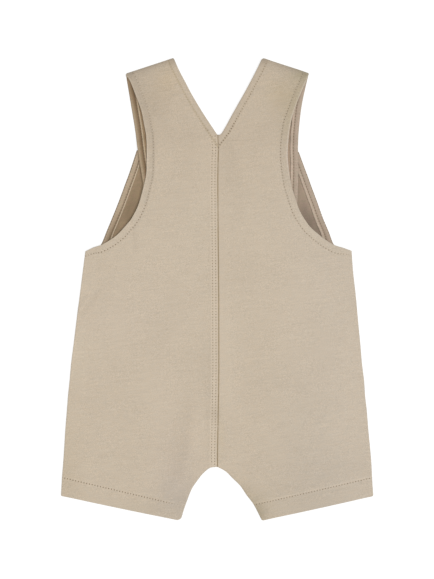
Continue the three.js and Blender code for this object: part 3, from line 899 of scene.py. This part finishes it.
# Each crease: x and y where it starts, x and y where it ends, its width and its height
CREASES = {
    "left": [
        (-108, 2, -127, -27, 2.6, -1.25), (-113, -5, -131, -25, 4, 1.3), (-24, -44, -20, -106, 6.5, 0.9),
        (-15, -100, -30, -178, 6.5, 1.4), (-15, -46, -9, -110, 7, -0.6), (-26, -96, -44, -186, 6.5, -0.7),
        (-48, -16, -60, -74, 8, -0.6), (-7.5, -104, -7, -128, 2.6, 1.1), (-78, 62, -75, 32, 2.2, -0.6),
        (-60, 48, -32, 54, 2.4, -0.5), (-72, 57, -40, 61, 3.6, 0.5), (-120, -158, -80, -148, 4, -0.5),
    ],
    "right": [
        (74, 31, 98, 26, 2.6, 0.6), (80, 24, 118, 20, 3, -0.5), (34, -87, 100, -88, 2.2, -0.5),
        (12, 132, 24, 116, 2.8, 0.5), (52, -110, 92, -168, 8, 1), (100, -20, 118, -90, 9, 0.8),
    ],
}
# Each patch of painted shade or light: x, y, half width, half height, and the change of red, green and blue
# in percent
BACK_SHADE_PATCHES = {
    "left": [
        (-38, -175, 22, 45, -4.5, -4.5, -2), (-35, -192, 18, 20, -6.5, -5, -2),
        (-22, -128, 11, 14, 3.5, 3, 3), (-18, 62, 14, 16, -2, -1.5, -1.5), (-132, -60, 22, 22, 6.5, 7, 7),
        (-50, -102, 14, 42, 3, 3, 3.5), (-117, 40, 12, 8, -3.5, -3.5, -4),
        (-138, -182, 14, 20, -3, -3, -3), (-90, -25, 50, 30, 2, 2, 3), (-54, 178, 14, 20, -4.5, -5.5, -7),
        (-60, -205, 60, 16, -4.5, -4, -4.5), (-140, -165, 16, 60, -3, -3.5, -6),
        (-45, 193, 9, 12, 0, -2, -7), (-41, 210, 4, 5, -10, -11, -12), (-2, -115, 4, 7, -12, -12, -12),
        (-8.6, 146, 2.2, 2.2, -14, -14, -14),
    ],
    "right": [
        (88, -198, 60, 18, -4.5, -4, -4), (9, -60, 13, 50, 3.2, 3.6, 4), (113, 40, 12, 9, -3.5, -3, -3.5),
        (92, -172, 46, 34, -6, -5.5, -4.5), (66, 178, 14, 20, -4, -4.5, -6.5),
        (75, -120, 30, 40, -3, -2.5, -2), (58, 180, 14, 14, 0, -1, -6), (43, 210, 4, 5, -10, -11, -12),
        (77, 197, 11, 6, -9, -7.5, -12), (3, -115, 2, 7, -7, -7, -7), (37, -206, 9, 12, -17, -16.5, -19),
        (4.5, -134, 2.5, 26, 0, -0.3, -3),
    ],
}
# Painted light over the straps' darker wrong side, stronger on the right
STRAP_INSIDE_SHADE_TINT = {"left": (1.1, 1.0, 0.85), "right": (1.3, 1.28, 1.36)}
backs = {}
for side in SIDES:
    back_sections = LEG + SEAT + ARMHOLE + STRAP_BACK + SHOULDER
    outer, inner, heights = ends(back_sections, side)
    axis_outer, axis_inner, outward = fold_axis(side)
    outer[-1] = axis_outer
    inner[-1] = axis_inner
    neck_row = len(LEG) + len(SEAT) + len(ARMHOLE) - 1
    last_row = len(back_sections) - 1
    inner = part_halves(inner, slice(crotch_row, neck_row + 1), side)
    near_hem_line = HEM_ROW + np.array([-0.1, -0.06, -0.03, 0, 0.03, 0.06, 0.1])
    rows = row_places(outer, inner, BACK_CELL, [0.01, 0.025, 0.05, 0.1, *near_hem_line])
    plan, outer_depth, inner_depth = lay_out(
        outer, inner, (0, underarm_row, last_row), (0, crotch_row, neck_row, last_row),
        rows, FACE_DEPTHS, NECK_DEPTHS, BACK_FILL)
    plan = led_by_seam(bow_hem(straighten(plan, rows, HEM_ROW), rows))
    share = np.linalg.norm(plan - plan[:, :1], axis=2)
    share /= share[:, -1:]
    edge_depth = np.minimum(outer_depth, inner_depth)
    hem_depth = np.linalg.norm(plan - plan[:1], axis=2)
    wrong = across_profile(spline(heights, rows), share)
    wrong = evened(wrong, run_length(plan[:, plan.shape[1] // 2]), LAYER_EVENING)
    free = smooth(4, 22, np.minimum(edge_depth, hem_depth))
    crease_height, crease_shade = creases(plan, side)
    wrong = wrong + ripples(plan, len(side)) * free + crease_height

    # The sewn lines: armhole, neck, hem and, on the left, the twin row beside the centre seam
    row_grid = rows[:, None]
    height = plan[..., 1]
    middle = np.array([outer[underarm_row, 0] / 2, 0.0])
    armhole_edge = run_on(plan[rows >= underarm_row, 0], RUN_ON)
    neck_edge = run_on(plan[rows >= neck_row + 1, -1], RUN_ON + 6)
    above_v = plan[rows >= neck_row + 1.4, -1]
    meeting = np.array([[seam_at(ROWS_MEET) - SEAM_GAP, ROWS_MEET]])
    neck_row_line = np.concatenate([meeting, inside_edge(above_v, NECK_BAND, middle)])
    clear_of_seam = neck_row_line[:, 1] > ROWS_MEET + 3
    clear_of_seam[0] = True
    neck_row_line = neck_row_line[clear_of_seam]
    hem_line = plan[np.abs(rows - HEM_ROW).argmin()]
    armhole_gap, armhole_run = near_line(plan, armhole_edge)
    neck_gap = near_line(plan, neck_edge)[0]
    neck_row_gap, neck_row_run = near_line(plan, neck_row_line)
    hem_gap, hem_run = near_line(plan, hem_line)
    armhole_row_at = armhole_row_depth(side, armhole_run, height)
    from_seam = np.abs(plan[..., 0] - seam_at(height)) + np.where(row_grid > neck_row, 2 * FAR, 0)
    up_neck = smooth(148, 166, height)
    sewn = [
        (np.abs(armhole_gap - armhole_row_at), armhole_run, *ARMHOLE_HOLES,
         ARMHOLE_FAINT[side] + ROW_CALMS[side] * smooth(60, 110, height)),
        (neck_row_gap, neck_row_run, NECK_SQUEEZE[side], NECK_SPREAD + UP_NECK_SPREAD * up_neck,
         NECK_FAINT[side] - CLEARER_AT_V * (1 - up_neck)),
        (hem_gap, hem_run, *HEM_HOLES, HEM_FAINT[side] + HEM_FADE[side] * smooth(-55, -32, plan[..., 0])),
    ]
    if side == "left":
        sewn += [(np.abs(from_seam - at), height - TWIN_START, *TWIN_HOLES, TWIN_FAINT) for at in TWIN_ROWS]
    aside, along, squeeze, nearest = nearest_row(sewn)

    # The relief of the bands, the hem and the seam's allowance on the right side
    fade = 1 - smooth(last_row - 0.4, last_row, row_grid)
    relief = fullness(armhole_gap, armhole_row_at) * fade + fullness(neck_gap, NECK_BAND) * fade
    above_hem = height - hem_line[None, :, 1]
    relief += HEM_RISE * (1 - smooth(-0.4, 0.6, above_hem)) * (row_grid < crotch_row)
    if side == "left":
        relief += ALLOWANCE_RISE * (1 - smooth(ALLOWANCE_WIDTH - 1.5, ALLOWANCE_WIDTH + 1.5, from_seam))
    relief -= GROOVE * bell(nearest, 0.55)
    depth = np.minimum(edge_depth, hem_depth)
    at_seam = (row_grid >= crotch_row) & (row_grid <= neck_row) & (inner_depth < outer_depth)
    right = wrong + CLOTH + WRONG_SIDE_DROP + relief - np.where(
        at_seam, rolled(depth, SEAM_EDGE_RADIUS), rolled(depth, EDGE_RADIUS))
    right_side = stacked(plan, right)
    wrong_side = stacked(plan, wrong + WRONG_SIDE_DROP + rolled(depth, WRONG_EDGE_RADIUS))

    # The strap's own fold and its run down the front, right side to the floor
    angles = np.linspace(0, math.pi, FOLD_STEPS + 1)[1:]
    fold = {}
    for key, radius, thin in (("right", FOLD_RADIUS, rolled(edge_depth[-1], EDGE_RADIUS)),
                              ("wrong", FOLD_RADIUS - CLOTH, -rolled(edge_depth[-1], WRONG_EDGE_RADIUS))):
        reach = (radius - thin)[None]
        ring = plan[-1][None] + outward * (reach * np.sin(angles)[:, None])[..., None]
        fold[key] = stacked(ring, FOLD_RADIUS + reach * np.cos(angles)[:, None])
    strap_outer, strap_inner, _ = ends(STRAP_FRONT, side)
    strap_outer = np.concatenate([axis_outer[None], strap_outer])
    strap_inner = np.concatenate([axis_inner[None], strap_inner])
    strap_last = len(strap_outer) - 1
    strap_rows = row_places(strap_outer, strap_inner, BACK_CELL, [strap_last - 0.05, strap_last - 0.02])
    strap_plan, strap_out, strap_in = lay_out(
        strap_outer, strap_inner, (0, strap_last), (0, strap_last),
        strap_rows, FACE_DEPTHS, NECK_DEPTHS, BACK_FILL)
    strap_end = np.linalg.norm(strap_plan - strap_plan[-1:], axis=2)
    strap_depth = np.min([strap_out, strap_in, strap_end], axis=0)
    strap_base = strap_height(strap_plan, side)
    strap_roll = ROLL_SHARE * rolled(strap_depth, EDGE_RADIUS)
    wrong_roll = ROLL_SHARE * rolled(strap_depth, WRONG_EDGE_RADIUS)
    strap_right = stacked(strap_plan, strap_base + strap_roll)
    strap_wrong = stacked(strap_plan, strap_base + CLOTH + LOFT - wrong_roll)
    whole_right = np.concatenate([right_side, fold["right"], strap_right[1:]])
    whole_wrong = np.concatenate([wrong_side, fold["wrong"], strap_wrong[1:]])

    up_to_fold = np.concatenate([plan, plan[-1:] + outward * FOLD_RADIUS])
    layers = (whole_right, whole_wrong, right_side)
    for column, at_hem, at_fold in zip((0, -1), HEM_CORNERS[side], FOLD_CORNERS[side]):
        round_corner(layers, up_to_fold, 0, column, at_hem)
        round_corner(layers, up_to_fold, -1, column, at_fold)

    fold_rows = len(angles) + len(strap_rows) - 1
    unsewn = np.full((fold_rows, plan.shape[1]), FAR)
    to_fold = np.abs((plan - axis_outer) @ outward - FOLD_RADIUS)
    right_tint = back_shade_tint(plan, side, to_fold, from_seam, above_hem, armhole_gap, inner_depth)
    # Painted shade along the armhole's row and at the neck's edge and row, and painted light along the
    # hem's row
    armhole_row_shade = bell(armhole_gap - armhole_row_at, 0.8) * smooth(20, 130, height)
    armhole_row_shade *= ARMHOLE_SHADE[side] * (1 - SHOULDER_CALM[side] * smooth(130, 170, height))
    neck_shade = NECK_EDGE_SHADE * bell(neck_gap, 1.5) + NECK_SHADE[side] * (1 - smooth(4.8, 6.0, neck_gap))
    hem_row_painted_light = HEM_ROW_LIGHT * bell(hem_gap, 0.8)
    right_tint *= coloured((1 - crease_shade) * (1 - armhole_row_shade))
    right_tint *= coloured((1 - neck_shade) * (1 + hem_row_painted_light))
    right_tint *= 1 - coloured(bell(neck_row_gap, 0.6), NECK_ROW_SHADE[side])
    whole_tint = np.concatenate([right_tint, np.repeat(right_tint[-1:], fold_rows, axis=0)])
    stitching = [(np.concatenate([values, unsewn]), wrong_value)
                 for values, wrong_value in ((along, 0.0), (aside, FAR), (squeeze, 1.0))]
    piece = cloth_mesh(
        f"back_{side}_cloth", whole_right, whole_wrong, stitching,
        (whole_tint, STRAP_INSIDE_SHADE_TINT[side]), [JERSEY, JERSEY_INSIDE_SHADED])
    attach(piece, "root")
    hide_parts(f"back_{side}")
    edge_run = run_length(armhole_edge)
    armhole_depth = armhole_row_depth(side, edge_run, armhole_edge[:, 1])
    row_lines = [
        (inside_edge(armhole_edge, armhole_depth, middle), edge_run),
        (neck_row_line, run_length(neck_row_line)),
        (hem_line, run_length(hem_line)),
    ]
    if side == "left":
        up_seam = np.arange(*SEAM_SPAN, 1.5)
        row_lines += [
            (np.column_stack([seam_at(up_seam) - at, up_seam]), up_seam - TWIN_START) for at in TWIN_ROWS]
    backs[side] = {
        "piece": piece, "strap_edges": (strap_outer, strap_inner),
        "stitch_lines": [on_cloth(line, run, right_side) for line, run in row_lines],
    }


# Facings inside the straps
# The armhole's facing runs on inside the strap along its outer edge, stitched by a row near its fold.
# Overall painted shade on the strap facings, warmer on the left
STRAP_FACING_SHADE_TINT = {"left": (0.94, 0.91, 0.84), "right": (0.99, 0.98, 1.05)}
STRAP_FACING_SHADES = {"left": (0.35, 0.52, 0.5, 0.18), "right": (0.0, 0.04, 0.2, 0.16)}
STRAP_FACING_WIDTH = {"left": 7.1, "right": 7.4}
STRAP_FACING_FROM = 0.15
for side in SIDES:
    outer, inner = backs[side]["strap_edges"]
    backs[side].update(facing_strip(
        f"strap_facing_{side}", side, outer, inner, STRAP_FACING_FROM, STRAP_FACING_WIDTH[side],
        lambda plan: strap_height(plan, side) + CLOTH + FACING_LIFT,
        STRAP_FACING_SHADE_TINT[side], STRAP_FACING_SHADES[side], FACING_ROWS[side][1:]))


# Sewing thread
# Spun polyester in the cloth's own shade. Each stitch lies between two needle holes and dips into
# both; the rows run round the armholes and the neck, along the hems, the centre seam and facings.
THREAD_RADIUS = 0.17
THREAD_SIDES = 6
STITCH_GAP = 0.12


def spun_thread(name, colour):
    """Spun polyester thread, dyed: a soft satin line, a little brighter than the cloth round it."""
    material, tree, place = new_material(name)
    twist = noise(tree, place, 0.4, 2.0)
    raised = add(tree, "ShaderNodeBump", {"Height": twist, "Strength": 0.3, "Distance": 0.05 * MM})
    shader = add(tree, "ShaderNodeBsdfPrincipled", {
        "Base Color": linear(colour), "Roughness": 0.6, "Normal": raised.outputs[0], "Sheen Weight": 0.1})
    add(tree, "ShaderNodeOutputMaterial", {"Surface": shader.outputs[0]})
    return material


THREAD = spun_thread("spun_polyester_thread", "#C4B6A2")
# Darker threads for the facings: painted shade inside the armholes
FACING_THREADS_SHADED = {
    "left": spun_thread("spun_polyester_thread_in_deep_painted_shade", "#84725A"),
    "right": spun_thread("spun_polyester_thread_in_painted_shade", "#A3917D"),
}


def stitch_row(name, paths, thread):
    """Stitches along lines of points in millimetres, each with its run along, joined in one piece."""
    steps = np.array([0, 0.14, 0.32, 0.5, 0.68, 0.86, 1.0])
    widths = np.array([0.25, 0.75, 1, 1, 1, 0.75, 0.25]) * THREAD_RADIUS
    rise = np.array([-0.2, -0.02, 0.07, 0.1, 0.07, -0.02, -0.2])
    turn = np.arange(THREAD_SIDES) * 2 * math.pi / THREAD_SIDES
    up = np.array([0, 0, 1.0])
    points = []
    faces = []
    for path in paths:
        run = path[:, 3]
        for k in range(int(math.ceil(run[0] / STITCH)), int(run[-1] / STITCH)):
            spots = (k + STITCH_GAP + steps * (1 - 2 * STITCH_GAP)) * STITCH
            centre = np.stack([np.interp(spots, run, path[:, axis]) for axis in range(3)], axis=1)
            centre[:, 2] += rise
            sideways = unit(quarter_turn((centre[-1] - centre[0])[:2]))
            ring = np.cos(turn)[:, None] * np.append(sideways, 0) + np.sin(turn)[:, None] * up
            first = len(points) * THREAD_SIDES * len(steps)
            points.append((centre[:, None] + widths[:, None, None] * ring[None]).reshape(-1, 3))
            for low in range(first, first + (len(steps) - 1) * THREAD_SIDES, THREAD_SIDES):
                high = low + THREAD_SIDES
                for t in range(THREAD_SIDES):
                    beside = (t + 1) % THREAD_SIDES
                    faces.append((low + t, low + beside, high + beside, high + t))
            faces.append(tuple(first + t for t in reversed(range(THREAD_SIDES))))
            faces.append(tuple(high + t for t in range(THREAD_SIDES)))
    mesh = bpy.data.meshes.new(name)
    mesh.from_pydata((np.concatenate(points) * MM).tolist(), [], faces)
    mesh.polygons.foreach_set("use_smooth", np.ones(len(faces), bool))
    mesh.materials.append(thread)
    row = in_scene(name, mesh)
    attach(row, "root")
    return row


for side in SIDES:
    backs[side]["thread"] = stitch_row(f"back_{side}_stitches", backs[side]["stitch_lines"], THREAD)
    backs[side]["facing_thread"] = stitch_row(
        f"strap_facing_{side}_stitches", backs[side]["facing_rows"], FACING_THREADS_SHADED[side])
    fronts[side]["facing_thread"] = stitch_row(
        f"armhole_facing_{side}_stitches", fronts[side]["facing_rows"], FACING_THREADS_SHADED[side])


# Buttons
# Two four-hole buttons of cast resin, sewn to the strap ends and pushed through the bib.
def cast_resin(name, colour, cloudy):
    """Cast polyester resin, faintly clouded and tumbled: smooth with a low satin gloss."""
    material, tree, place = new_material(name)
    base = mixed(tree, noise(tree, place, 4, 3.0), linear(colour), linear(cloudy))
    shader = add(tree, "ShaderNodeBsdfPrincipled", {"Base Color": base, "Roughness": 0.35})
    add(tree, "ShaderNodeOutputMaterial", {"Surface": shader.outputs[0]})
    return material


RESIN = cast_resin("cast_resin", "#C8B9A2", "#D8CDBA")
for side in SIDES:
    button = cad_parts[f"button_{side}"]
    button.data.materials.clear()
    button.data.materials.append(RESIN)


for side in SIDES:
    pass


# Floor and light
# A plain white table and soft light from all over, with a wide softbox overhead.
HALF_FLOOR = 8.0
FLOOR_DROP = 0.3 * MM
FLOOR_GREY = 0.35
FLOOR_GLOW = 0.66
SOFTBOX_WIDTH = math.radians(35)
SOFTBOX_TILT = (math.radians(6), math.radians(12), 0)

floor_mesh = bpy.data.meshes.new("floor")
floor_corners = [(-1, -1), (1, -1), (1, 1), (-1, 1)]
floor_mesh.from_pydata(
    [(x * HALF_FLOOR, y * HALF_FLOOR, -FLOOR_DROP) for x, y in floor_corners], [], [(0, 1, 2, 3)])
floor = in_scene("floor", floor_mesh)
paper = bpy.data.materials.new("matt_white_paper")
paper.use_nodes = True
paper_shader = paper.node_tree.nodes["Principled BSDF"]
paper_shader.inputs["Base Color"].default_value = (FLOOR_GREY, FLOOR_GREY, FLOOR_GREY, 1)
paper_shader.inputs["Roughness"].default_value = 0.9
paper_shader.inputs["Emission Color"].default_value = (1, 1, 1, 1)
paper_shader.inputs["Emission Strength"].default_value = FLOOR_GLOW
floor_mesh.materials.append(paper)

softbox_data = bpy.data.lights.new("far_softbox", "SUN")
softbox_data.angle = SOFTBOX_WIDTH
softbox_data.energy = 2.2
softbox = in_scene("far_softbox", softbox_data)
softbox.location = (0.42, -0.2, 2.0)
softbox.rotation_euler = SOFTBOX_TILT
world = bpy.data.worlds.new("studio")
world.use_nodes = True
sky = world.node_tree.nodes["Background"]
sky.inputs["Color"].default_value = (1, 1, 1, 1)
sky.inputs["Strength"].default_value = 0.5
bpy.context.scene.world = world
bpy.context.scene.view_settings.view_transform = "Standard"
